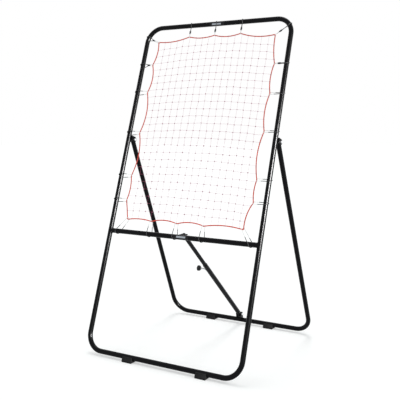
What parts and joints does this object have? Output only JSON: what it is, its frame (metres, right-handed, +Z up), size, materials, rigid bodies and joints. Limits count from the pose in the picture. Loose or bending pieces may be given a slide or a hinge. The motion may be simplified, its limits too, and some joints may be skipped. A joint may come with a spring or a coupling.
{
  "type": "pitching target net",
  "caption": "Free-standing pitching target: a leaning steel tube frame with an elastic-hung net above a crossbar, a folding rear leg and a telescopic brace with a lock knob.",
  "frame": {"origin": "on the floor, in the middle of the stand's footprint", "axes": "+X runs across the net along the bars, +Y points from the front bar to the rear bar, +Z is up"},
  "size_m": [0.9406, 0.91, 1.7455],
  "materials": {
    "black_paint": "satin black powder coat",
    "brace_paint": "satin black paint",
    "black_plastic": "moulded",
    "black_rubber": "matte",
    "zinc_steel": "bright zinc plate",
    "red_twine": "thin knotted twine",
    "red_rope": "twisted rope",
    "white_elastic": "braided elastic cord",
    "black_elastic": "braided elastic cord"
  },
  "bodies": {
    "frame": {"frame_upper": "black_paint", "frame_lower": "black_paint", "crossbar": "black_paint", "net": "red_twine", "net_rope": "red_rope", "tie_ends_top": "white_elastic", "tie_ends_right": "white_elastic", "tie_ends_bottom": "white_elastic", "tie_ends_left": "white_elastic", "tie_top_1": "black_elastic", "tie_top_2": "black_elastic", "tie_top_3": "black_elastic", "tie_right_1": "black_elastic", "tie_right_2": "black_elastic", "tie_right_3": "black_elastic", "tie_right_4": "black_elastic", "tie_right_5": "black_elastic", "tie_bottom_1": "black_elastic", "tie_bottom_2": "black_elastic", "tie_bottom_3": "black_elastic", "tie_left_1": "black_elastic", "tie_left_2": "black_elastic", "tie_left_3": "black_elastic", "tie_left_4": "black_elastic", "tie_left_5": "black_elastic", "tie_corner_1": "black_elastic", "tie_corner_2": "black_elastic", "tie_corner_3": "black_elastic", "tie_corner_4": "black_elastic", "hinge_bracket_left": "black_paint", "hinge_bracket_right": "black_paint", "hinge_bolt_left": "zinc_steel", "hinge_bolt_right": "zinc_steel", "hinge_nut_left": "zinc_steel", "hinge_nut_right": "zinc_steel", "front_foot_left": "black_rubber", "front_foot_right": "black_rubber", "brace_head_bracket": "black_paint", "brace_head_bolt": "zinc_steel", "brace_head_nut": "zinc_steel"},
    "rear": {"rear_leg": "black_paint", "rear_plug_left": "black_plastic", "rear_plug_right": "black_plastic", "rear_foot_left": "black_rubber", "rear_foot_right": "black_rubber", "brace_shoe_bracket": "black_paint", "brace_shoe_bolt": "zinc_steel", "brace_shoe_nut": "zinc_steel"},
    "brace_lower": {"brace_lower_tube": "brace_paint", "brace_lower_plug": "black_plastic", "weld_nut": "zinc_steel"},
    "brace_upper": {"brace_upper_tube": "brace_paint", "brace_upper_plug": "black_plastic"},
    "knob": {"lock_stud": "zinc_steel", "lock_knob": "black_plastic"}
  },
  "joints": [
    {"name": "rear_leg_fold", "type": "hinge", "parent": "frame", "child": "rear", "pos_m": [0, -0.02608, 1.09644], "axis": [-1, 0, 0], "range_deg": [0, 40]},
    {"name": "brace_swing", "type": "hinge", "parent": "rear", "child": "brace_lower", "pos_m": [0, 0.42575, 0.05745], "axis": [-1, 0, 0], "range_deg": [0, 22.66]},
    {"name": "brace_slide", "type": "slide", "parent": "brace_lower", "child": "brace_upper", "axis": [0, 0.7418, -0.6706], "range_m": [0, 0.2052]},
    {"name": "knob_turn", "type": "hinge", "parent": "brace_lower", "child": "knob", "pos_m": [-0.02, 0.05189, 0.39546], "axis": [-1, 0, 0], "range_deg": [0, 360]}
  ],
  "couplings": [
    {"joint": "brace_swing", "follows": "rear_leg_fold", "ratio": 0.56618},
    {"joint": "brace_slide", "follows": "rear_leg_fold", "m_per_rad": 0.29358}
  ]
}
